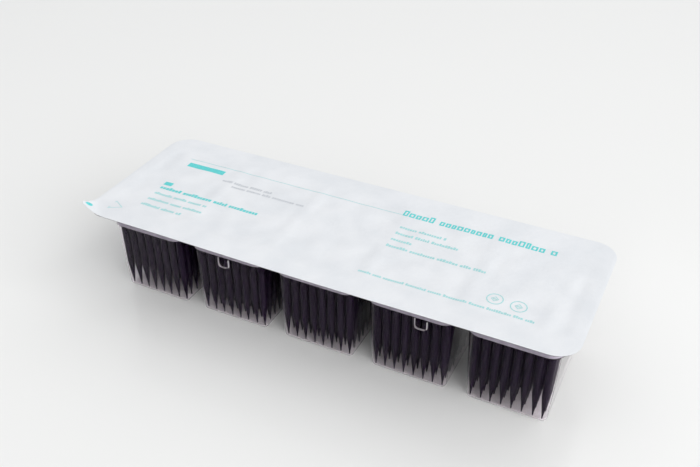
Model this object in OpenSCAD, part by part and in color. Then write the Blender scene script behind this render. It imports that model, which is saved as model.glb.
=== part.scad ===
// Blister pack of pipette tips: five racks of ninety-six conductive tips stand in the
// deep pockets of one clear thermoformed tray, under a paper lid sealed to its flange.
// X runs along the pack, Y from its front to its back and Z up. The origin is on the
// surface that the pack stands on, under its middle. All sizes are in millimetres.

/* [Pack] */
// Racks in the pack, one to a pocket
racks = 5; // [1:1:6]
// Tip rows in a rack, counted along the pack
rows = 8; // [2:1:12]
// Tips in a row, counted from front to back
row_tips = 12; // [2:1:16]
// Gap between the collars of two neighbouring tips, which stand on a 9 mm grid
collar_gap = 0.7; // [0.3:0.05:4]
// Bare web of the flange between two pockets
web_w = 2.3; // [0.8:0.1:8]
// Flange beyond the walls of the end pockets
end_margin = 10.6; // [6:0.1:20]
// Flange beyond the pockets' walls at the front and back
side_margin = 20.2; // [6:0.1:30]
// Corner radius of the flange and the lid
pack_r = 21; // [8:0.5:30]
// Cut across the flange's corner, where the lid can be gripped and peeled
peel_cut = 11; // [0:0.5:14]
// Corner radius of the lid's tab at that corner
peel_r = 6; // [2:0.5:20]

/* [Tips] */
// Length of a tip
tip_l = 95.1; // [70:0.1:110]
// Height of a tip's collar, which hangs on the rack
collar_h = 10.1; // [6:0.1:14]
// Diameter of the body under the collar
body_d = 7.3; // [5:0.05:9]
// How far the collar stands out over the body, all round
collar_lip = 0.5; // [0.4:0.05:1]
// How much narrower the body's radius is where its cone starts
body_taper = 0.2; // [0:0.05:1]
// Length of the cone at the tip's end
cone_l = 24; // [15:0.5:40]
// Diameter of the tip's end
point_d = 1.25; // [1:0.05:2]
// Diameter of the hole in the tip's end
orifice_d = 0.7; // [0.4:0.05:0.85]
// Wall of the tip's body
tip_wall = 0.45; // [0.3:0.05:0.8]
// Wall of the collar around its socket
socket_wall = 0.7; // [0.5:0.05:1]

/* [Rack] */
// Thickness of the plate that the tips hang in
plate_t = 2; // [1.2:0.1:3.5]
// Play between a tip's body and its hole, all round
hole_play = 0.15; // [0.05:0.05:0.2]
// Thickness of the rack's skirt
skirt_t = 1.4; // [0.8:0.1:1.9]
// Thickness of the ribs under the plate
rib_t = 0.8; // [0.5:0.05:1]
// Depth of the ribs under the plate
rib_h = 4; // [2:0.1:8]
// Width of the finger notch at each end of the rack
notch_w = 22; // [10:1:40]
// What is left of the skirt over the finger notch
notch_web = 3.4; // [1:0.1:8]

/* [Tray] */
// Wall of the tray
wall = 0.6; // [0.4:0.05:1]
// Gap between the tips' ends and the pocket's floor
end_gap = 1.3; // [0.8:0.1:5]
// Gap between the tips' collars and the lid
head_gap = 1; // [0.5:0.1:5]
// Depth of the ledge under the flange
ledge_drop = 23.4; // [17:0.1:35]
// Inner corner radius of the pocket at its floor
floor_r = 4.1; // [2:0.1:8]
// Gap between a corner tip, where its cone ends, and the pocket's corner
corner_play = 0.28; // [0.2:0.02:3]
// Draft of the lower wall, in degrees
draft = 2.3; // [2:0.1:6]
// Draft of the wall over the ledge, in degrees
rim_draft = 2; // [0:0.1:6]
// Width of the ledge that the rack stands on
ledge_w = 2.7; // [2.2:0.1:6]
// Width of the ledge at its corners, which are rounder than the lower wall's
ledge_corner_w = 1.24; // [1:0.02:2]
// Play between the rack's skirt and the pocket
rack_play = 0.4; // [0.2:0.05:1]
// Fillet between the floor and the wall
floor_fillet = 4; // [2:0.1:6]
// Fillets at the ledge
ledge_fillet = 0.9; // [0.7:0.05:1.2]
// Fillet between the wall and the flange
rim_fillet = 1.5; // [1.1:0.1:2.5]
// Width of a denesting lug
lug_w = 13; // [8:0.5:20]
// Height of a denesting lug under the ledge
lug_h = 12.5; // [8:0.5:20]
// How far a denesting lug's face stays behind the ledge's edge
lug_back = 0.3; // [0:0.1:1]
// Corner radius of a denesting lug
lug_r = 4; // [2:0.1:4.5]
// Lug on the second pocket's front wall, off the pocket's middle
lug_second = -3.5; // [-12:0.5:12]
// Lug on the last pocket but one, off the pocket's middle
lug_fourth = 11.5; // [-12:0.5:12]

/* [Lid] */
// Thickness of the lid
lid_t = 0.25; // [0.15:0.05:0.5]

/* [Hidden] */
$fn = 64;
FILLET_STEPS = 4;
// Flat end of a pocket's wall section, in the flange and in the ledge
LAP = 0.3;
// Centres and radii are kept to whole micrometres, so that every arc meets its straights
function to_grid(v) = round(v * 1000) / 1000;

// Tips: the collar's diameter, and the distance from one tip to the next
collar_d = body_d + 2 * collar_lip;
tip_pitch = collar_d + collar_gap;
hole_d = body_d + 2 * hole_play;

// Half spans of a rack's tip axes, along the pack and across it
span_x = (rows - 1) * tip_pitch / 2;
span_y = (row_tips - 1) * tip_pitch / 2;

// Levels, from the underside of the floors up
tip_z = wall + end_gap;
seat_z = tip_z + tip_l - collar_h;
flange_z = tip_z + tip_l + head_gap;
ledge_z = flange_z - ledge_drop;

// Under the ledge the pocket's corners are round about [low_x, low_y] at every level, as far
// inside the corner tips' axes as leaves them their play. The radii are those of the outer
// faces there, at the floor and under the ledge
corner_room = floor_r + (tip_z + cone_l) * tan(draft) - body_d / 2 + body_taper - corner_play;
corner_in = corner_room > 0 ? corner_room / sqrt(2) : corner_room;
low_x = to_grid(span_x - corner_in);
low_y = to_grid(span_y - corner_in);
floor_out = floor_r + wall;
low_out = to_grid(floor_out + ledge_z * tan(draft));

// Over the ledge, where the rack stands, they are round about [top_x, top_y], with these
// radii at the ledge, at the flange and where the flange's fillet ends
ledge_out = to_grid((sqrt(2) * (low_out + ledge_w) - low_out - ledge_corner_w) / (sqrt(2) - 1));
skirt_r = ledge_out - wall - rack_play;
top_x = low_x + low_out + ledge_w - ledge_out;
top_y = low_y + low_out + ledge_w - ledge_out;
rim_out = to_grid(ledge_out + ledge_drop * tan(rim_draft));
flange_out = rim_out + rim_fillet;
lug_out = ledge_w - lug_back;

rack_pitch = 2 * to_grid(top_x + flange_out + web_w / 2);
pack_l = (racks - 1) * rack_pitch + 2 * (top_x + rim_out + end_margin);
pack_w = 2 * (top_y + rim_out + side_margin);

ROW_LETTERS = "abcdefghijkl";
function pocket_name(r) = str("tray_pocket_", r + 1);
function rack_name(r) = str("rack_", r + 1);
function row_name(r, c) = str(rack_name(r), "_tips_", ROW_LETTERS[c]);
function rack_x(r) = (r - (racks - 1) / 2) * rack_pitch;

// ---- Shapes ----

// Points of an arc in the wall's section, from one bearing to another
function arc(centre, r, from, to) =
    [for (i = [0:FILLET_STEPS]) let (a = from + (to - from) * i / FILLET_STEPS)
        centre + r * [cos(a), sin(a)]];

// A section's open path, moved sideways by t to its left
function unit(v) = v / norm(v);
function left_of(a, b) = let (t = unit(b - a)) [-t[1], t[0]];
function shift_point(p, n, m, t) = p + t * (n + m) / (1 + n * m);
function shift_path(path, t) = let (last = len(path) - 1)
    [for (i = [0:last])
        let (before = left_of(path[max(i - 1, 0)], path[max(i, 1)]))
        let (after = left_of(path[min(i, last - 1)], path[min(i + 1, last)]))
        shift_point(path[i], before, after, t)];

// Outline with round corners, r about centres at (x, y) from the middle
module round_outline(x, y, r) {
    square([2 * (x + r), 2 * y], center = true);
    square([2 * x, 2 * (y + r)], center = true);
    for (sx = [-1, 1]) for (sy = [-1, 1]) translate([sx * x, sy * y]) circle(r);
}

// A wall's section carried round a rectangle of corner centres at (x, y)
module carry_round(x, y) {
    for (turn = [[x, y, 0], [-x, y, 90], [-x, -y, 180], [x, -y, 270]])
        translate([turn[0], turn[1]]) rotate(turn[2]) rotate_extrude(angle = 90) children();
    for (side = [[x, y, 0], [y, x, 90], [x, y, 180], [y, x, 270]])
        rotate(side[2]) translate([side[0], side[1]]) rotate([90, 0, 0])
            linear_extrude(2 * side[1]) children();
}

// ---- Tray ----

// The tray is one formed sheet. Its pockets and its flange are nodes of their own, which meet
// where a pocket's fillet ends in the flange.

// Outer faces of the wall in section, under the ledge: floor, fillet, drafted wall, ledge
function low_path() = let (fillet = min(floor_fillet, floor_out - 0.1)) concat(
    [[0, 0]],
    arc([floor_out - fillet, fillet], fillet, -90, -draft),
    arc([low_out + ledge_fillet, ledge_z - wall - ledge_fillet], ledge_fillet, 180 - draft, 90));

// Outer faces over the ledge: ledge, drafted wall, fillet into the flange
function top_path() = concat(
    [[ledge_out - ledge_fillet - LAP, ledge_z - wall]],
    arc([ledge_out - ledge_fillet, ledge_z - wall + ledge_fillet], ledge_fillet, -90, -rim_draft),
    arc([flange_out, flange_z - wall - rim_fillet], rim_fillet, 180 - rim_draft, 90),
    [[flange_out + LAP, flange_z - wall]]);

module wall_section(path) {
    inner = shift_path(path, wall);
    polygon(concat(path, [for (i = [len(inner) - 1:-1:0]) inner[i]]));
}

module ledge() {
    translate([0, 0, ledge_z - wall]) linear_extrude(wall) difference() {
        round_outline(top_x, top_y, ledge_out - ledge_fillet - LAP / 2);
        round_outline(low_x, low_y, low_out);
    }
}

module pocket(r) {
    color([0.86, 0.88, 0.92, 0.35]) translate([rack_x(r), 0]) difference() {
        union() {
            carry_round(low_x, low_y) wall_section(low_path());
            translate([-low_x, -low_y]) cube([2 * low_x, 2 * low_y, wall]);
            ledge();
            carry_round(top_x, top_y) wall_section(top_path());
            at_lugs(r) lug_block(0, ledge_z - wall / 2);
        }
        at_lugs(r) lug_block(wall, ledge_z + wall);
    }
}

module pack_outline() {
    round_outline(pack_l / 2 - pack_r, pack_w / 2 - pack_r, pack_r);
}

// The flange ends short of the lid at its front left corner
module flange() {
    color([0.86, 0.88, 0.92, 0.35]) translate([0, 0, flange_z - wall]) linear_extrude(wall)
        difference() {
            pack_outline();
            for (r = [0:racks - 1]) translate([rack_x(r), 0])
                round_outline(top_x, top_y, flange_out + LAP);
            translate([-pack_l / 2, -pack_w / 2]) rotate(45) square(2 * peel_cut, center = true);
        }
}

// Front view of a lug, inset by t; its top runs up to the given level
module lug_outline(t, top) {
    x = lug_w / 2 - lug_r;
    low = ledge_z - wall - lug_h + lug_r;
    for (s = [-1, 1]) translate([s * x, low]) circle(lug_r - t);
    translate([-x, low - lug_r + t]) square([2 * x, lug_r]);
    translate([t - lug_w / 2, low]) square([lug_w - 2 * t, top - low]);
}

// A lug's block, from inside the pocket out to its face, which is inset by t
module lug_block(t, top) {
    face = low_y + low_out + lug_out - t;
    depth = lug_out + lug_h * tan(draft) + wall + 1;
    translate([0, depth - face]) rotate([90, 0, 0]) linear_extrude(depth) lug_outline(t, top);
}

// Places of a pocket's lugs, as a turn about its middle and a distance along its front: the
// tray's back wall has the same lugs as its front, turned half round
function lug_places(r) = concat(
    racks > 2 && r == 1 ? [[0, lug_second]] : [],
    racks > 3 && r == racks - 2 ? [[0, lug_fourth]] : [],
    racks > 2 && r == racks - 2 ? [[180, lug_second]] : [],
    racks > 3 && r == 1 ? [[180, lug_fourth]] : []);

module at_lugs(r) {
    for (place = lug_places(r)) rotate(place[0]) translate([place[1], 0]) children();
}

// ---- Lid ----

// The flange's outline with a squarer corner over the cut, which is the tab to peel it by
module lid_outline() {
    x = pack_l / 2;
    y = pack_w / 2;
    tab = min(peel_r, pack_r);
    polygon([[tab - x, -y], [x - pack_r, -y], [x, pack_r - y], [x, y - pack_r],
        [x - pack_r, y], [pack_r - x, y], [-x, y - pack_r], [-x, tab - y]]);
    for (place = [[1, 1, pack_r], [1, -1, pack_r], [-1, 1, pack_r], [-1, -1, tab]])
        translate([place[0] * (x - place[2]), place[1] * (y - place[2])]) circle(place[2]);
}

module lid() {
    color([0.92, 0.94, 0.95]) translate([0, 0, flange_z]) linear_extrude(lid_t) lid_outline();
}

// ---- Rack ----

module plate_holes() {
    for (i = [0:rows - 1]) for (j = [0:row_tips - 1])
        translate([i * tip_pitch - span_x, j * tip_pitch - span_y, seat_z - plate_t - 1])
            cylinder(h = plate_t + 2, d = hole_d);
}

// Ribs run between the holes, every second row and every third tip
module plate_ribs() {
    for (i = [2:2:rows - 1])
        translate([(i - 0.5) * tip_pitch - span_x - rib_t / 2, 0, 0])
            rib([rib_t, 2 * (top_y + skirt_r) - skirt_t], [0, 0.5]);
    for (j = [3:3:row_tips - 1])
        translate([0, (j - 0.5) * tip_pitch - span_y - rib_t / 2, 0])
            rib([2 * (top_x + skirt_r) - skirt_t, rib_t], [0.5, 0]);
}

module rib(size, centred) {
    translate([-size[0] * centred[0], -size[1] * centred[1], seat_z - plate_t - rib_h])
        cube([size[0], size[1], rib_h + plate_t / 2]);
}

module skirt() {
    translate([0, 0, ledge_z]) linear_extrude(seat_z - ledge_z - plate_t / 2) difference() {
        round_outline(top_x, top_y, skirt_r);
        round_outline(top_x, top_y, skirt_r - skirt_t);
    }
}

module rack(r) {
    color([0.62, 0.62, 0.64]) translate([rack_x(r), 0]) difference() {
        union() {
            translate([0, 0, seat_z - plate_t]) linear_extrude(plate_t)
                round_outline(top_x, top_y, skirt_r);
            skirt();
            plate_ribs();
        }
        plate_holes();
        translate([-pack_l / 2, -notch_w / 2, ledge_z - 1])
            cube([pack_l, notch_w, seat_z - plate_t - notch_web - ledge_z + 1]);
    }
}

// ---- Tips ----

// Half section of a tip: up the outside, and down the bore
function tip_section() = let (seat = tip_l - collar_h, taper = 1.2, bead = 0.2)
    let (low_r = body_d / 2 - body_taper, socket_r = collar_d / 2 - socket_wall)
    [[point_d / 2, 0],
     [point_d / 2 + 0.05, 2.5],
     [low_r - 0.3, cone_l - 1.5],
     [low_r, cone_l + 1.5],
     [body_d / 2, seat],
     [collar_d / 2 - bead, seat],
     [collar_d / 2, seat + 0.6],
     [collar_d / 2, seat + 1.8],
     [collar_d / 2 - bead, seat + 2.2],
     [collar_d / 2 - bead, tip_l - 1.6],
     [collar_d / 2, tip_l - 1.2],
     [collar_d / 2, tip_l],
     [socket_r + 0.3, tip_l],
     [socket_r, tip_l - 0.6],
     [socket_r - 0.1, seat + taper],
     [body_d / 2 - tip_wall, seat - taper],
     [low_r - tip_wall, cone_l + 1.5],
     [low_r - 0.3 - tip_wall, cone_l - 1.5],
     [orifice_d / 2, 3],
     [orifice_d / 2, 0]];

module tip() {
    rotate_extrude($fn = 40) polygon(tip_section());
}

module tip_row(r, c) {
    color([0.09, 0.08, 0.1]) translate([rack_x(r) + c * tip_pitch - span_x, 0, tip_z])
        for (j = [0:row_tips - 1]) translate([0, j * tip_pitch - span_y]) tip();
}

flange();  // tray_flange
lid();
for (r = [0:racks - 1]) pocket(r);
for (r = [0:racks - 1]) rack(r);
for (r = [0:racks - 1]) for (c = [0:rows - 1])
    tip_row(r, c);
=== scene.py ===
"""Looks of a sealed blister pack of pipette tips: a clear tray with a rack of black tips in
each of its pockets, under a white printed lid. The frame's own axes and metres are used: +X
runs along the pack, the front faces -Y, and the pack stands on Z = 0."""
import math
import random

import bmesh
import bpy
from mathutils import Matrix, Vector
from mathutils.bvhtree import BVHTree


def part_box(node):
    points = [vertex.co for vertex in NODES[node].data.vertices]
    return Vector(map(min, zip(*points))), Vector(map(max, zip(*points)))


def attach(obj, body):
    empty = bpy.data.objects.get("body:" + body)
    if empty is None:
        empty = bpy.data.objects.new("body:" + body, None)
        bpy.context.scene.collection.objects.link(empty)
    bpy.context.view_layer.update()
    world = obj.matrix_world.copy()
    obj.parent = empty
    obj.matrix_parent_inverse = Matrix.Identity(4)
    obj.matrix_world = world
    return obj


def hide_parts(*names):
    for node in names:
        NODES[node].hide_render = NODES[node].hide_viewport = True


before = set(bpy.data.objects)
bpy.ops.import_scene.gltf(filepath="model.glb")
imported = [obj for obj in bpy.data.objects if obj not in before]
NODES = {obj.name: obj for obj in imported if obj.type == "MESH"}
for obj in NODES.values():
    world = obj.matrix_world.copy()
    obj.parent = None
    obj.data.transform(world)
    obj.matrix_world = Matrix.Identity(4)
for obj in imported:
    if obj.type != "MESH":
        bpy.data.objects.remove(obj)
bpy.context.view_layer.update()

MM = 0.001
UP = Vector((0, 0, 1))
NEAR = 1e-6                 # points closer than this are one point
TRAY = sorted(name for name in NODES if name.startswith("tray"))
RACKS = sorted(name for name in NODES if name.startswith("rack_") and "tips" not in name)
ROWS = sorted(name for name in NODES if "_tips_" in name)

# ---- Sizes of the tray and the lid, from the frame ----

RACK_LO, RACK_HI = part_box(RACKS[0])
LID_LO, LID_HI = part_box("lid")
PACK_HALF = Vector(((LID_HI.x - LID_LO.x) / 2, (LID_HI.y - LID_LO.y) / 2))
RACK_HALF = Vector(((RACK_HI.x - RACK_LO.x) / 2, (RACK_HI.y - RACK_LO.y) / 2))
POCKETS_X = [sum(corner.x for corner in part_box(name)) / 2 for name in RACKS]
FLANGE_Z = LID_LO.z
LEDGE_Z = RACK_LO.z
LID_T = LID_HI.z - LID_LO.z

# ---- Sizes of the tray's wall ----

FILM = 0.55 * MM            # a little under the wall, so that no two faces lie in one plane
WALL = 0.6 * MM
RACK_CORNER = 12.9 * MM
RACK_PLAY = 0.4 * MM
LEDGE_W = 2.7 * MM
LOW_DRAFT = math.radians(2.3)
RIM_DRAFT = math.radians(2)
FLOOR_CORNER = 4.7 * MM     # outside radius of the pocket's corners at the floor
FLOOR_FILLET = 4 * MM
LEDGE_FILLET = 0.9 * MM
RIM_FILLET = 1.5 * MM
PACK_CORNER = 21 * MM
PEEL_CUT = 11 * MM
LID_OVERHANG = 0.4 * MM
PEEL_CORNER = 6 * MM        # corner radius of the lid's tab

LOW_OUT = FLOOR_CORNER + LEDGE_Z * math.tan(LOW_DRAFT)
LEDGE_OUT = RACK_CORNER + RACK_PLAY + WALL
TOP_CENTRE = RACK_HALF - Vector((RACK_CORNER, RACK_CORNER))
LOW_CENTRE = TOP_CENTRE + Vector((1, 1)) * (LEDGE_OUT - LEDGE_W - LOW_OUT)
RIM_OUT = LEDGE_OUT + (FLANGE_Z - LEDGE_Z) * math.tan(RIM_DRAFT)
FLANGE_OUT = RIM_OUT + RIM_FILLET

# Denesting lugs on the front walls of two pockets, and turned half round on the back
LUGS = {1: -3.5 * MM, 3: 11.5 * MM}     # a pocket's index, and the place from its middle
LUG_W = 13 * MM
LUG_H = 12.5 * MM
LUG_OUT = 2.4 * MM
LUG_CORNER = 4 * MM
LUG_DRAFT = math.radians(14)
LUG_EDGE = 0.8 * MM         # radius of the rounded edges at the lug's foot and round its face
LUG_EDGE_STEPS = 4
LUG_FRAME = 1 * MM          # bare wall that is formed anew round a lug
LUG_HIGHLIGHT_REACH = 2.2 * MM        # painted highlight: a whitish strip this wide along one side of a lug, which also stops this far under the top

# ---- The lie of the flange and the lid ----

EDGE_ROLL = 3.6 * MM        # the sheet's outer edge rolls down over this width
EDGE_DROP = 0.06 * MM
FRONT_SAG = 1.4 * MM        # the front margin hangs a little at its middle
SAG_REACH = 190 * MM
FLANGE_STEP = 9 * MM        # the flange is cut up this finely, so that it can bend,
FLANGE_CUTS = (0.4, 1.2, 2.4, 3.6, 9, 15)   # and this far in from its edge, in mm

LID_STEP = 3 * MM
LID_BANDS = (0.5, 0.9, 1.1, 1.1)    # widths of the bands along the lid's outline, in mm
LID_GAP = 0.03 * MM         # keeps the lid's face off the flange's
LID_SLACK = 0.55 * MM       # the lid's slack over a pocket
SLACK_SLOPE = 9 * MM        # width over which the slack grows from the seal
RIPPLE_X, RIPPLE_Y = 148, 121       # ripples of the slack, in radians a metre
SWAY_X, SWAY_Y = 61, 95             # how the ripples wander from straight rows
CREASE_X = POCKETS_X[-1] + 26 * MM
CREASE_SLANT = 0.12
CREASE_W = 9 * MM
CREASE_H = 0.35 * MM
CREASE_WAVE = 90
PEEL_FROM = 18 * MM         # the lid is free from here to its peel corner, and bends up
PEEL_BEND = 13.8 * MM
PEEL_START = 4 * MM         # the seal's lie fades out over this much of the free corner

# ---- Tips ----

TIP_CONE = ((0, 0), (0.6, 0), (0.7, 2.5), (3.1, 22.3), (3.45, 26))  # radius and height, mm
BODY_R = 3.65 * MM
COLLAR_R = 4.15 * MM
COLLAR_H = 10.1 * MM
MOUTH_R = 3.45 * MM
SOCKET_R = 3.2 * MM
TIP_SIDES = 10
TIPS_IN_ROW = 12
LEAN = 0.15                 # spread and limit of a tip's lean, in degrees
LEAN_MAX = 0.5

# ---- Print, in millimetres ----

PRINT_LIFT = 0.07 * MM      # clears the small hollows between the lid's corner points
PRINT_STEP = 3 * MM
TITLE = (39, 183, 43.5, 8.6)    # a line's start, end, foot and height
TITLE_STROKE = 1.6
HEADING = (-189, -77, -15.5, 4.6)
BARS = ((-190, -148, 31, 38), (-190, -181, -8.5, -3))
DOT_AT, DOT_R = (-226, -72.4), 2.9
SMALL_LINES = ((-188, -128, -25.5, 3.6), (-188, -127, -36, 3.6), (-188, -143, -46.5, 3.6),
               (45, 90, 23.5, 3.6), (45, 105, 13.5, 3.6), (45, 65, 3.5, 3.6),
               (45, 137, -7, 3.6), (39, 192, -50.5, 3))
RULE = (-194, 38, 44.2, 44.8)
TRIANGLE_AT, TRIANGLE_R, TRIANGLE_W = (-207, -59), 8, 1.2
ROUND_MARKS = ((153.5, -35), (173.5, -36))
RING_R, INNER_RING_R, RING_W = 7, 3.4, 0.9
MARK_HALF = (1.6, 0.6)      # half the bar inside a round mark
STAMP_LINES = ((-142, -85, 21.5, 3.4), (-128, -48, 15.5, 3.4))

# ---- Colours, linear ----

PAPER = (0.79, 0.805, 0.825)
PAPER_SHADE = (0.74, 0.76, 0.785)
INK = (0.10, 0.56, 0.56)
FINE_INK = (0.33, 0.61, 0.61)   # small lines of print, paler for the paper between strokes
STAMP = (0.50, 0.52, 0.55)
BLACK = (0.007, 0.003, 0.011)
GREY = (0.34, 0.32, 0.37)
FILM_TINT = (0.965, 0.935, 0.96)
FILM_IOR = 1.16             # low, so that little of the table shows in front of the tips
FILM_SHINE = (0.1, 0.06, 0.2)
FILM_SHADOW = 0.07          # share of a lamp's light that each face of film keeps back
HIGHLIGHT_CLEAR = 0.35      # share of the light that passes straight through the film of the painted highlight; the rest turns whitish
TABLE = (0.88, 0.88, 0.865)

# ---- Stage ----

TABLE_HALF = 4
TABLE_DROP = 0.15 * MM      # keeps the table off the pockets' floors
SKY = (0.97, 0.98, 1)
SKY_STRENGTH = 0.6
LAMPS = (("key", (9.6, -3.2, 6.8), 12.6, 1390),    # name, place, width and power
         ("back", (2, 5.5, 8), 7, 110))
BOUNCES = 24                # a ray along the pack crosses twenty faces of film
CLEAR_BOUNCES = 32
CAMERA_AZIMUTH = math.radians(26.21)
CAMERA_ELEVATION = math.radians(34.74)
CAMERA_AWAY = 0.7623
CAMERA_AIM = Vector((9 * MM, -3.8 * MM, FLANGE_Z))
CAMERA_LENS = 44.2


# ---- Helpers ----

def arc(centre, radius, start, end, steps):
    """Points of an arc in a section's plane, from one bearing to another in degrees."""
    bearings = [math.radians(start + (end - start) * i / steps) for i in range(steps + 1)]
    return [(centre[0] + radius * math.cos(a), centre[1] + radius * math.sin(a))
            for a in bearings]


def smooth_step(value, low, high):
    """0 at low, 1 at high, and a soft S between them."""
    share = min(max((value - low) / (high - low), 0), 1)
    return share * share * (3 - 2 * share)


def spaced(low, high, spacing):
    """Even places from low to high, about this far apart."""
    count = max(1, round((high - low) / spacing))
    return [low + (high - low) * i / count for i in range(count + 1)]


def link(item):
    bpy.context.scene.collection.objects.link(item)


def new_piece(name, bm, material, replaces=(), smooth=True):
    """Makes a piece of the object from a bmesh and lets it ride on the pack."""
    mesh = bpy.data.meshes.new(name)
    bm.to_mesh(mesh)
    bm.free()
    for polygon in mesh.polygons:
        polygon.use_smooth = smooth
    mesh.materials.append(material)
    piece = bpy.data.objects.new(name, mesh)
    link(piece)
    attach(piece, "root")
    if replaces:
        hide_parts(*replaces)
    return piece


def thicken(piece, name, thickness, offset, even=False):
    """Gives a sheet its thickness, and keeps its large faces flat in the shading."""
    solid = piece.modifiers.new(name, "SOLIDIFY")
    solid.thickness = thickness
    solid.offset = offset
    solid.use_even_offset = even
    piece.modifiers.new("flat_faces", "WEIGHTED_NORMAL").keep_sharp = True


def chain_of(bm, points):
    """Vertices at the points, joined one after another by edges. Returns the edges."""
    verts = [bm.verts.new(point) for point in points]
    return [bm.edges.new(pair) for pair in zip(verts, verts[1:])]


def verts_of(edges):
    """The edges' vertices, each once."""
    return list(dict.fromkeys(vert for edge in edges for vert in edge.verts))


def pull(bm, edges, offset):
    """Extrudes a chain of edges by an offset and returns the moved chain."""
    made = bmesh.ops.extrude_edge_only(bm, edges=edges)["geom"]
    moved = {item for item in made if isinstance(item, bmesh.types.BMVert)}
    bmesh.ops.translate(bm, verts=list(moved), vec=offset)
    return [item for item in made
            if isinstance(item, bmesh.types.BMEdge) and set(item.verts) <= moved]


def turn(bm, edges, centre, steps):
    """Spins a chain a quarter round an upright axis and returns its last place."""
    made = bmesh.ops.spin(bm, geom=verts_of(edges) + edges, cent=centre, axis=UP,
                          angle=math.pi / 2, steps=steps)["geom_last"]
    return [item for item in made if isinstance(item, bmesh.types.BMEdge)]


def spin_round(bm, edges, x, y, steps):
    """Spins a chain once round an upright axis."""
    bmesh.ops.spin(bm, geom=verts_of(edges) + edges, cent=(x, y, 0), axis=UP,
                   angle=2 * math.pi, steps=steps, use_merge=True)


def carry_round(bm, middle_x, centre, section):
    """Carries an upright section of (distance out, height) points once round a pocket."""
    x, y = centre
    chain = chain_of(bm, [(middle_x - x, -y - out, z) for out, z in section])
    corners = [((x, -y), (2 * x, 0, 0)), ((x, y), (0, 2 * y, 0)),
               ((-x, y), (-2 * x, 0, 0)), ((-x, -y), (0, -2 * y, 0))]
    for (corner_x, corner_y), along in corners:
        chain = pull(bm, chain, along)
        chain = turn(bm, chain, (middle_x + corner_x, corner_y, 0), steps=8)


def round_face(bm, half, z, radius_at):
    """A flat face about the origin, with a corner radius that depends on the corner's place."""
    place = Matrix.Translation((0, 0, z)) @ Matrix.Diagonal((half[0], half[1], 1, 1))
    corners = bmesh.ops.create_grid(bm, x_segments=1, y_segments=1, size=1, matrix=place)
    for corner in corners["verts"]:
        bmesh.ops.bevel(bm, geom=[corner], offset=radius_at(corner.co), segments=14,
                        profile=0.5, affect="VERTICES", material=-1)


def copy_outline(plane, bm):
    """Moves a flat face's outline into another mesh."""
    rim = [edge for edge in plane.edges if len(edge.link_faces) == 1]
    verts = {vert: bm.verts.new(vert.co) for vert in verts_of(rim)}
    for edge in rim:
        bm.edges.new([verts[vert] for vert in edge.verts])
    plane.free()


def all_of(bm, keep=lambda vert: True):
    """The mesh's items whose vertices all pass a test."""
    verts = [vert for vert in bm.verts if keep(vert)]
    kept = set(verts)
    return [*verts, *(item for items in (bm.edges, bm.faces) for item in items
                      if kept.issuperset(item.verts))]


def cut(bm, items, axis, places):
    """Cuts items by planes across an axis, so that they can be bent there."""
    normal = Vector((0, 0, 0))
    normal[axis] = 1
    for place in places:
        items = bmesh.ops.bisect_plane(bm, geom=items, plane_co=normal * place,
                                       plane_no=normal, dist=NEAR / 10)["geom"]
    return items


# ---- Materials ----

def new_material(name):
    material = bpy.data.materials.new(name)
    material.use_nodes = True
    nodes = material.node_tree.nodes
    return material, nodes, material.node_tree.links, nodes["Principled BSDF"]


def grain_group():
    """Fine mottling: a mask that changes a colour and a height for a bump."""
    group = bpy.data.node_groups.new("Grain", "ShaderNodeTree")
    side = group.interface.new_socket
    side("Scale", in_out="INPUT", socket_type="NodeSocketFloat")
    side("Detail", in_out="INPUT", socket_type="NodeSocketFloat")
    side("Mask", in_out="OUTPUT", socket_type="NodeSocketFloat")
    nodes, links = group.nodes, group.links
    inward = nodes.new("NodeGroupInput")
    outward = nodes.new("NodeGroupOutput")
    place = nodes.new("ShaderNodeTexCoord")
    noise = nodes.new("ShaderNodeTexNoise")
    links.new(place.outputs["Object"], noise.inputs["Vector"])
    links.new(inward.outputs["Scale"], noise.inputs["Scale"])
    links.new(inward.outputs["Detail"], noise.inputs["Detail"])
    links.new(noise.outputs["Fac"], outward.inputs["Mask"])
    return group


GRAIN = grain_group()


def add_grain(nodes, scale, detail):
    grain = nodes.new("ShaderNodeGroup")
    grain.node_tree = GRAIN
    grain.inputs["Scale"].default_value = scale
    grain.inputs["Detail"].default_value = detail
    return grain.outputs["Mask"]


def add_bump(nodes, links, shader, height, distance, strength=1.0):
    bump = nodes.new("ShaderNodeBump")
    bump.inputs["Distance"].default_value = distance
    bump.inputs["Strength"].default_value = strength
    links.new(height, bump.inputs["Height"])
    links.new(bump.outputs["Normal"], shader.inputs["Normal"])


def add_colour_range(nodes, links, shader, mask, dark, light, low=0.3, high=0.7):
    ramp = nodes.new("ShaderNodeValToRGB")
    ramp.color_ramp.elements[0].position = low
    ramp.color_ramp.elements[1].position = high
    ramp.color_ramp.elements[0].color = (*dark, 1)
    ramp.color_ramp.elements[1].color = (*light, 1)
    links.new(mask, ramp.inputs["Fac"])
    links.new(ramp.outputs["Color"], shader.inputs["Base Color"])


def clear_film(name, transmission):
    """Clear film that casts hardly any shadow."""
    material, nodes, links, shader = new_material(name)
    shader.inputs["Base Color"].default_value = (*FILM_TINT, 1)
    shader.inputs["Transmission Weight"].default_value = transmission
    shader.inputs["Roughness"].default_value = 0.03
    shader.inputs["IOR"].default_value = FILM_IOR
    shader.inputs["Specular Tint"].default_value = (*FILM_SHINE, 1)
    add_bump(nodes, links, shader, add_grain(nodes, 25, 1), 0.05 * MM)
    rays = nodes.new("ShaderNodeLightPath")
    clear = nodes.new("ShaderNodeMath")
    clear.operation = "MULTIPLY_ADD"
    clear.inputs[1].default_value = FILM_SHADOW - 1
    clear.inputs[2].default_value = 1
    links.new(rays.outputs["Is Shadow Ray"], clear.inputs[0])
    links.new(clear.outputs["Value"], shader.inputs["Alpha"])
    return material


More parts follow.
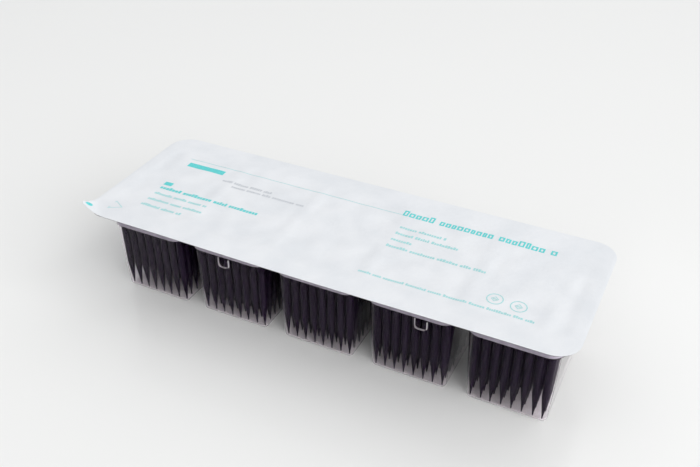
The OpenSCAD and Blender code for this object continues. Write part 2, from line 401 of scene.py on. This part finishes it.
def lidding():
    """White fibrous sheet, matt."""
    material, nodes, links, shader = new_material("lidding")
    shader.inputs["Roughness"].default_value = 0.62
    shader.inputs["Specular IOR Level"].default_value = 0.3
    add_colour_range(nodes, links, shader, add_grain(nodes, 32, 5), PAPER_SHADE, PAPER,
                     0.36, 0.62)
    add_bump(nodes, links, shader, add_grain(nodes, 260, 5), 0.5 * MM, 0.35)
    return material


def ink(name, colour):
    """Printing ink, thinner in places."""
    material, nodes, links, shader = new_material(name)
    shader.inputs["Roughness"].default_value = 0.5
    light = [min(1, tone * 1.25) for tone in colour]
    add_colour_range(nodes, links, shader, add_grain(nodes, 900, 2), colour, light)
    return material


def moulded(name, colour, roughness, specular, grain, distance):
    """Injection moulded plastic with a fine grain."""
    material, nodes, links, shader = new_material(name)
    shader.inputs["Roughness"].default_value = roughness
    shader.inputs["Specular IOR Level"].default_value = specular
    light = [tone * 1.3 for tone in colour]
    add_colour_range(nodes, links, shader, add_grain(nodes, grain, 3), colour, light)
    add_bump(nodes, links, shader, add_grain(nodes, grain * 3, 2), distance, 0.6)
    return material


def table_top():
    """Smooth white table that mirrors the pack faintly."""
    material, _, _, shader = new_material("table_top")
    shader.inputs["Base Color"].default_value = (*TABLE, 1)
    shader.inputs["Roughness"].default_value = 0.16
    shader.inputs["Specular IOR Level"].default_value = 0.5
    return material


CLEAR = clear_film("clear_film", 1)
# a whitish film that paints the highlights on the lugs' sides
HIGHLIGHT_FILM = clear_film("film_with_painted_highlight", HIGHLIGHT_CLEAR)
LIDDING = lidding()
TURQUOISE = ink("turquoise_ink", INK)
FINE_TURQUOISE = ink("fine_turquoise_ink", FINE_INK)
STAMPED = ink("stamped_grey", STAMP)
RACK_GREY = moulded("rack_plastic", GREY, 0.5, 0.4, 300, 0.02 * MM)
TIP_BLACK = moulded("tip_plastic", BLACK, 0.35, 0.1, 500, 0.01 * MM)


# ---- The lie of the flange and the lid ----

def edge_distance(x, y):
    """How far a point of the flange lies inside its outline."""
    dx = abs(x) - (PACK_HALF.x - PACK_CORNER)
    dy = abs(y) - (PACK_HALF.y - PACK_CORNER)
    if dx > 0 and dy > 0:
        return PACK_CORNER - math.hypot(dx, dy)
    return min(PACK_CORNER - dx, PACK_CORNER - dy)


def flange_lie(x, y):
    """Height of the flange over its flat form: the rolled edge and the front margin's sag."""
    roll = max(0, 1 - edge_distance(x, y) / EDGE_ROLL)
    margin = smooth_step(-y, TOP_CENTRE.y + FLANGE_OUT, PACK_HALF.y)
    along = math.cos(math.pi / 2 * min(1, abs(x) / SAG_REACH)) ** 2
    return -EDGE_DROP * roll ** 2 - FRONT_SAG * margin * along


def over_pocket(x, y):
    """1 well inside a pocket's mouth and 0 on the sealed flange."""
    deepest = 0
    for middle in POCKETS_X:
        dx = max(0, abs(x - middle) - TOP_CENTRE.x)
        dy = max(0, abs(y) - TOP_CENTRE.y)
        inside = FLANGE_OUT - math.hypot(dx, dy)
        deepest = max(deepest, smooth_step(inside, 0, SLACK_SLOPE))
    return deepest


def lid_lie(x, y):
    """Height of the lid over its flat form: as the flange, with slack and a crease over the
    pockets, and bent up at the peel corner."""
    ripple = (math.sin(x * RIPPLE_X + 1.3 * math.sin(y * SWAY_Y))
              * math.sin(y * RIPPLE_Y + 1.7 * math.sin(x * SWAY_X)))
    free = max(0, PEEL_FROM - (x + y + PACK_HALF.x + PACK_HALF.y) / math.sqrt(2))
    sealed = flange_lie(x, y) - LID_SLACK * over_pocket(x, y) * (0.75 + 0.45 * ripple)
    crease = smooth_step(abs(x - CREASE_X - CREASE_SLANT * y), CREASE_W, 0) * over_pocket(x, y)
    return (sealed * (1 - min(1, free / PEEL_START)) + free * free / (2 * PEEL_BEND)
            + CREASE_H * crease * (0.7 + 0.3 * math.sin(y * CREASE_WAVE)))


# ---- Tray ----

def low_section():
    """Outer face under the ledge: floor fillet, drafted wall, fillet into the ledge."""
    draft = math.degrees(LOW_DRAFT)
    top = LEDGE_Z - WALL
    return (arc((FLOOR_CORNER - FLOOR_FILLET, FLOOR_FILLET), FLOOR_FILLET, -90, -draft, steps=7)
            + [(FLOOR_CORNER + top * 0.5 * math.tan(LOW_DRAFT), top * 0.5)]
            + arc((LOW_OUT + LEDGE_FILLET, top - LEDGE_FILLET), LEDGE_FILLET,
                  180 - draft, 90, steps=4))


def top_section():
    """Outer face over the ledge: fillet, drafted wall, fillet into the flange."""
    draft = math.degrees(RIM_DRAFT)
    low = LEDGE_Z - WALL
    return (arc((LEDGE_OUT - LEDGE_FILLET, low + LEDGE_FILLET), LEDGE_FILLET, -90, -draft,
                steps=4)
            + arc((FLANGE_OUT, FLANGE_Z - WALL - RIM_FILLET), RIM_FILLET, 180 - draft, 90,
                  steps=5))


def loop_at(bm, z, middle_x):
    """Open edges of the sheet at one level, around one pocket."""
    reach = RACK_HALF.x + 5 * MM
    return [edge for edge in bm.edges
            if len(edge.link_faces) == 1
            and all(abs(vert.co.z - z) < NEAR for vert in edge.verts)
            and all(abs(vert.co.x - middle_x) < reach for vert in edge.verts)]


def pocket(bm, middle_x):
    """One pocket's outer face: walls under and over the ledge, floor and ledge."""
    carry_round(bm, middle_x, LOW_CENTRE, low_section())
    carry_round(bm, middle_x, TOP_CENTRE, top_section())
    near = [vert for vert in bm.verts if abs(vert.co.x - middle_x) < RACK_HALF.x + 8 * MM]
    bmesh.ops.remove_doubles(bm, verts=near, dist=NEAR)
    bmesh.ops.contextual_create(bm, geom=loop_at(bm, 0, middle_x))
    bmesh.ops.bridge_loops(bm, edges=loop_at(bm, LEDGE_Z - WALL, middle_x))


def lug_section():
    """A lug's side from its foot to its face: how far in from the foot, and how far out of
    the wall. A rounded edge comes first, then the drafted side, then a rounded edge again."""
    side_bearing = -math.degrees(LUG_DRAFT)
    foot = [(across, LUG_EDGE + out)
            for across, out in arc((0, 0), LUG_EDGE, -90, side_bearing, LUG_EDGE_STEPS)]
    rise = LUG_OUT - 2 * foot[-1][1]
    width = 2 * foot[-1][0] + rise * math.tan(LUG_DRAFT)
    return foot + [(width - across, LUG_OUT - out) for across, out in reversed(foot)]


def lug_outline(half_w, half_h, inset):
    """A lug's outline at one level of its side, with small corners at the ledge and large
    ones below."""
    points = []
    for sx, sz, start, radius in ((1, 1, 0, LUG_EDGE), (-1, 1, 90, LUG_EDGE),
                                  (-1, -1, 180, LUG_CORNER), (1, -1, 270, LUG_CORNER)):
        radius = max(radius - inset, 0.1 * MM)
        centre = (sx * (half_w - inset - radius), sz * (half_h - inset - radius))
        points += arc(centre, radius, start, start + 90, steps=6)
    return points


def lug_ring(bm, centre, side, half_h, inset, out):
    """Vertices round a lug at one level, from the leaning wall to the lug's upright face."""
    share = out / LUG_OUT
    ring_verts = []
    for across, up in lug_outline(LUG_W / 2, half_h, inset):
        wall_out = FLOOR_CORNER + (centre.z + up) * math.tan(LOW_DRAFT)
        reach = LOW_CENTRE.y + wall_out + share * (LOW_OUT + LUG_OUT - wall_out)
        ring_verts.append(bm.verts.new((centre.x + across, side * reach, centre.z + up)))
    return ring_verts


def is_painted_highlight(step, from_middle, side, half_h):
    """Whether a face gets the whitish film of the painted highlight: all round on a lug's side,
    and wider at one end.
    """
    highlighted = (step == LUG_EDGE_STEPS
             or step < LUG_EDGE_STEPS + 2 and from_middle.x * side > LUG_W / 2 - LUG_HIGHLIGHT_REACH)
    return highlighted and from_middle.z < half_h - LUG_HIGHLIGHT_REACH


def lug(bm, side, pocket_x, middle):
    """Forms one lug: the wall is opened, and rings carry the sheet on to the lug's face."""
    top = LEDGE_Z - WALL - LEDGE_FILLET
    low = LEDGE_Z - WALL - LUG_H
    half_h = (top - low) / 2
    centre = Vector((middle, side * (LOW_CENTRE.y + LOW_OUT), (top + low) / 2))

    def on_wall(vert):
        return (side * vert.co.y > LOW_CENTRE.y + FLOOR_CORNER - MM
                and vert.co.z < top + LEDGE_FILLET / 2
                and abs(vert.co.x - pocket_x) < LOW_CENTRE.x + NEAR)

    half_frame = LUG_W / 2 + LUG_FRAME
    wall = cut(bm, all_of(bm, on_wall), 0, [middle - half_frame, middle + half_frame])
    cut(bm, wall, 2, [low - LUG_FRAME])
    window = min(bm.faces, key=lambda face: (face.calc_center_median() - centre).length)
    window.normal_update()
    normal, frame_edges = window.normal.copy(), list(window.edges)
    bmesh.ops.delete(bm, geom=[window], context="FACES_ONLY")
    rings = [lug_ring(bm, centre, side, half_h, inset, out) for inset, out in lug_section()]
    foot = [bm.edges.new((rings[0][i - 1], rings[0][i])) for i in range(len(rings[0]))]
    bmesh.ops.triangle_fill(bm, use_beauty=True, edges=frame_edges + foot, normal=normal)
    for step, (outer, inner) in enumerate(zip(rings, rings[1:])):
        for i in range(len(outer)):
            face = bm.faces.new((outer[i - 1], outer[i], inner[i], inner[i - 1]))
            from_middle = face.calc_center_median() - centre
            # faces of the lug's sides get the whitish film that paints its highlights
            face.material_index = int(is_painted_highlight(step, from_middle, side, half_h))
    bm.faces.new(rings[-1])


def lugs(bm):
    """Forms the denesting lugs in the front and back walls, just under the ledge."""
    for side in (-1, 1):
        for index, offset in LUGS.items():
            pocket_x = POCKETS_X[index if side < 0 else -1 - index]
            lug(bm, side, pocket_x, pocket_x - side * offset)


def flange(bm):
    """The flange, with the pockets' mouths open in it and one corner cut off."""
    low = FLANGE_Z - WALL
    plane = bmesh.new()
    round_face(plane, PACK_HALF - Vector((1, 1)) * LID_OVERHANG, low,
               lambda at: PACK_CORNER - LID_OVERHANG)
    corner = Vector((-PACK_HALF.x + PEEL_CUT * math.sqrt(2), -PACK_HALF.y, 0))
    bmesh.ops.bisect_plane(plane, geom=[*plane.verts, *plane.edges, *plane.faces],
                           plane_co=corner, plane_no=(-1, -1, 0), clear_outer=True)
    copy_outline(plane, bm)
    rims = [edge for edge in bm.edges
            if len(edge.link_faces) < 2
            and all(abs(vert.co.z - low) < NEAR for vert in edge.verts)]
    bmesh.ops.triangle_fill(bm, use_beauty=True, edges=rims, normal=UP)


def tray():
    """The clear tray as one formed sheet."""
    bm = bmesh.new()
    for middle_x in POCKETS_X:
        pocket(bm, middle_x)
    lugs(bm)
    flange(bm)
    level = FLANGE_Z - WALL - NEAR
    flat = all_of(bm, lambda vert: vert.co.z > level)
    flat = cut(bm, flat, 0, spaced(-PACK_HALF.x, PACK_HALF.x, FLANGE_STEP)[1:-1])
    for axis in (0, 1):
        flat = cut(bm, flat, axis, [side * (PACK_HALF[axis] - inset * MM)
                                    for inset in FLANGE_CUTS for side in (-1, 1)])
    for vert in bm.verts:
        if vert.co.z > level:
            vert.co.z += flange_lie(vert.co.x, vert.co.y)
    bmesh.ops.recalc_face_normals(bm, faces=bm.faces)
    floor = min(bm.faces, key=lambda face: face.calc_center_median().z)
    floor.normal_update()
    if floor.normal.z > 0:
        bmesh.ops.reverse_faces(bm, faces=bm.faces)
    piece = new_piece("clear_tray", bm, CLEAR, TRAY)
    # the second material is the whitish film that paints the lugs' highlights
    piece.data.materials.append(HIGHLIGHT_FILM)
    thicken(piece, "film", FILM, -1, even=True)


# ---- Tips ----

def tip_mesh(length):
    """One tip, its end at the origin: cone, body, collar, and a socket in its head."""
    seat = length - COLLAR_H
    points = [(r * MM, z * MM) for r, z in TIP_CONE]
    points += [(BODY_R, seat), (COLLAR_R, seat), (COLLAR_R, length), (MOUTH_R, length),
               (SOCKET_R, seat), (0, seat)]
    bm = bmesh.new()
    spin_round(bm, chain_of(bm, [(r, 0, z) for r, z in points]), 0, 0, TIP_SIDES)
    bmesh.ops.remove_doubles(bm, verts=bm.verts, dist=NEAR)
    bmesh.ops.recalc_face_normals(bm, faces=bm.faces)
    for edge in bm.edges:
        edge.smooth = len(edge.link_faces) < 2 or edge.calc_face_angle(0) < math.radians(40)
    mesh = bpy.data.meshes.new("one_tip")
    bm.to_mesh(mesh)
    bm.free()
    return mesh


def lean_angle(rng):
    return math.radians(max(-LEAN_MAX, min(LEAN_MAX, rng.gauss(0, LEAN))))


def tip_row(name, one_tip, rng):
    """The tips of one row, each leaning a little in its hole."""
    low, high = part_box(name)
    radius = (high.x - low.x) / 2
    first_y, last_y = low.y + radius, high.y - radius
    bm = bmesh.new()
    for i in range(TIPS_IN_ROW):
        known = set(bm.verts)
        bm.from_mesh(one_tip)
        own = [vert for vert in bm.verts if vert not in known]
        lean_x, lean_y = lean_angle(rng), lean_angle(rng)
        place = Vector(((low.x + high.x) / 2,
                        first_y + (last_y - first_y) * i / (TIPS_IN_ROW - 1), low.z))
        pivot = Vector((place.x, place.y, high.z - COLLAR_H))
        lean = (Matrix.Translation(pivot) @ Matrix.Rotation(lean_x, 4, "Y")
                @ Matrix.Rotation(lean_y, 4, "X") @ Matrix.Translation(-pivot))
        bmesh.ops.transform(bm, matrix=lean @ Matrix.Translation(place), verts=own)
    new_piece(name.replace("rack_", "tips_").replace("_tips_", "_row_"), bm, TIP_BLACK,
              [name])


def tips():
    low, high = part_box(ROWS[0])
    one_tip = tip_mesh(high.z - low.z)
    rng = random.Random(7)
    for name in ROWS:
        tip_row(name, one_tip, rng)


# ---- Lid ----

def lid():
    """The lidding sheet. Returns its lower face, for the print to lie on."""
    bm = bmesh.new()
    round_face(bm, PACK_HALF, FLANGE_Z + LID_GAP,
               lambda at: PEEL_CORNER if at.x < 0 and at.y < 0 else PACK_CORNER)
    for inset in LID_BANDS:
        inner = [face for face in bm.faces if len(face.verts) > 4]
        bmesh.ops.inset_region(bm, faces=inner, thickness=inset * MM, use_even_offset=True)
    items = cut(bm, all_of(bm), 0, spaced(-PACK_HALF.x, PACK_HALF.x, LID_STEP)[1:-1])
    cut(bm, items, 1, spaced(-PACK_HALF.y, PACK_HALF.y, LID_STEP)[1:-1])
    for vert in bm.verts:
        vert.co.z += lid_lie(vert.co.x, vert.co.y)
    bmesh.ops.recalc_face_normals(bm, faces=bm.faces)
    bm.normal_update()
    if sum(face.normal.z for face in bm.faces) < 0:
        bmesh.ops.reverse_faces(bm, faces=bm.faces)
    surface = BVHTree.FromBMesh(bm)
    piece = new_piece("paper_lid", bm, LIDDING, ["lid"])
    thicken(piece, "sheet", LID_T, 1)
    return surface


# ---- Print ----

def stand_on(surface, verts):
    """Sets flat marks on the lid."""
    for vert in verts:
        hit = surface.ray_cast(Vector((vert.co.x, vert.co.y, 1)), -UP)[0]
        vert.co.z = (hit.z if hit else LID_HI.z) + LID_T + PRINT_LIFT


def bar(bm, low_x, high_x, low_y, high_y):
    """A flat bar, cut up where it has to follow the lid."""
    steps = max(1, math.ceil((high_x - low_x) / PRINT_STEP))
    middle = Matrix.Translation(((low_x + high_x) / 2, (low_y + high_y) / 2, 0))
    size = Matrix.Diagonal(((high_x - low_x) / 2, (high_y - low_y) / 2, 1, 1))
    bmesh.ops.create_grid(bm, x_segments=steps, y_segments=1, size=1, matrix=middle @ size)


def box_mark(bm, low_x, high_x, low_y, high_y, stroke):
    """The outline of a box, drawn with four bars."""
    bar(bm, low_x, low_x + stroke, low_y, high_y)
    bar(bm, high_x - stroke, high_x, low_y, high_y)
    bar(bm, low_x + stroke, high_x - stroke, low_y, low_y + stroke)
    bar(bm, low_x + stroke, high_x - stroke, high_y - stroke, high_y)


def line_of_blocks(bm, rng, start_x, end_x, y, height, stroke=None):
    """A line of print as plain blocks, or as empty boxes, in groups as long as words."""
    x = start_x * MM
    tall = height * MM
    while x < end_x * MM:
        for _ in range(rng.randint(4, 10)):
            width = tall * rng.uniform(0.42, 0.66)
            if x + width > end_x * MM:
                return
            top = y * MM + (tall if rng.random() < 0.25 else tall * 0.74)
            if stroke:
                box_mark(bm, x, x + width, y * MM, top, stroke * MM)
            else:
                bar(bm, x, x + width, y * MM, top)
            x += width + tall * 0.14
        x += tall * 0.5


def ring(bm, x, y, radius, width, sides=28):
    """A flat ring, or with three or four sides a triangle or a square."""
    x, y, radius, width = (size * MM for size in (x, y, radius, width))
    edge = chain_of(bm, [(x + radius - width, y, 0), (x + radius, y, 0)])
    spin_round(bm, edge, x, y, sides)


def print_piece(name, bm, surface, material):
    """Lays marks on the lid and makes a piece of them."""
    stand_on(surface, bm.verts)
    bmesh.ops.remove_doubles(bm, verts=bm.verts, dist=NEAR / 10)
    bmesh.ops.recalc_face_normals(bm, faces=bm.faces)
    for face in bm.faces:
        if face.normal.z < 0:
            face.normal_flip()
    new_piece(name, bm, material, smooth=False)


def printing(surface):
    """Generic marks where the lid is printed: blocks for words, plain bars and plain rings."""
    rng = random.Random(3)
    bold = bmesh.new()
    line_of_blocks(bold, rng, *TITLE, TITLE_STROKE)
    line_of_blocks(bold, rng, *HEADING)
    for edges in BARS:
        bar(bold, *(edge * MM for edge in edges))
    dot = Matrix.Translation((DOT_AT[0] * MM, DOT_AT[1] * MM, 0))
    bmesh.ops.create_circle(bold, cap_ends=True, segments=12, radius=DOT_R * MM, matrix=dot)
    print_piece("bold_print", bold, surface, TURQUOISE)

    fine = bmesh.new()
    for line in SMALL_LINES:
        line_of_blocks(fine, rng, *line)
    bar(fine, *(edge * MM for edge in RULE))
    ring(fine, *TRIANGLE_AT, TRIANGLE_R, TRIANGLE_W, 3)
    for x, y in ROUND_MARKS:
        ring(fine, x, y, RING_R, RING_W)
        ring(fine, x, y, INNER_RING_R, RING_W, 4)
        bar(fine, (x - MARK_HALF[0]) * MM, (x + MARK_HALF[0]) * MM,
            (y - MARK_HALF[1]) * MM, (y + MARK_HALF[1]) * MM)
    print_piece("fine_print", fine, surface, FINE_TURQUOISE)

    stamp = bmesh.new()
    for line in STAMP_LINES:
        line_of_blocks(stamp, rng, *line)
    print_piece("stamped_print", stamp, surface, STAMPED)


# ---- Stage ----

def lamp(name, place, width, energy):
    """A square lamp that faces the pack."""
    data = bpy.data.lights.new(name, "AREA")
    data.shape = "RECTANGLE"
    data.size = data.size_y = width
    data.energy = energy
    light = bpy.data.objects.new(name, data)
    light.location = place
    light.rotation_euler = (-Vector(place)).to_track_quat("-Z", "Y").to_euler()
    link(light)


def stage():
    """White table, even sky and lamps."""
    bm = bmesh.new()
    bmesh.ops.create_grid(bm, x_segments=8, y_segments=8, size=TABLE_HALF,
                          matrix=Matrix.Translation((0, 0, -TABLE_DROP)))
    mesh = bpy.data.meshes.new("table")
    bm.to_mesh(mesh)
    bm.free()
    mesh.materials.append(table_top())
    table = bpy.data.objects.new("table", mesh)
    link(table)
    world = bpy.data.worlds.new("studio")
    world.use_nodes = True
    sky = world.node_tree.nodes["Background"]
    sky.inputs["Color"].default_value = (*SKY, 1)
    sky.inputs["Strength"].default_value = SKY_STRENGTH
    bpy.context.scene.world = world
    for name, place, width, energy in LAMPS:
        lamp(name, place, width, energy)
    bpy.context.scene.view_settings.view_transform = "Standard"


def camera():
    """Stands to the front and right of the pack, looking down on it."""
    away = Vector((math.sin(CAMERA_AZIMUTH) * math.cos(CAMERA_ELEVATION),
                   -math.cos(CAMERA_AZIMUTH) * math.cos(CAMERA_ELEVATION),
                   math.sin(CAMERA_ELEVATION)))
    data = bpy.data.cameras.new("camera")
    data.lens = CAMERA_LENS
    data.sensor_width = 36
    data.clip_start = 0.01
    eye = bpy.data.objects.new("camera", data)
    eye.location = CAMERA_AIM + away * CAMERA_AWAY
    eye.rotation_euler = (-away).to_track_quat("-Z", "Y").to_euler()
    link(eye)
    bpy.context.scene.camera = eye


camera()
stage()
tray()
printing(lid())
tips()
for name in RACKS:
    NODES[name].data.materials.clear()
    NODES[name].data.materials.append(RACK_GREY)
cycles = bpy.context.scene.cycles
cycles.max_bounces = cycles.transmission_bounces = BOUNCES
cycles.transparent_max_bounces = CLEAR_BOUNCES
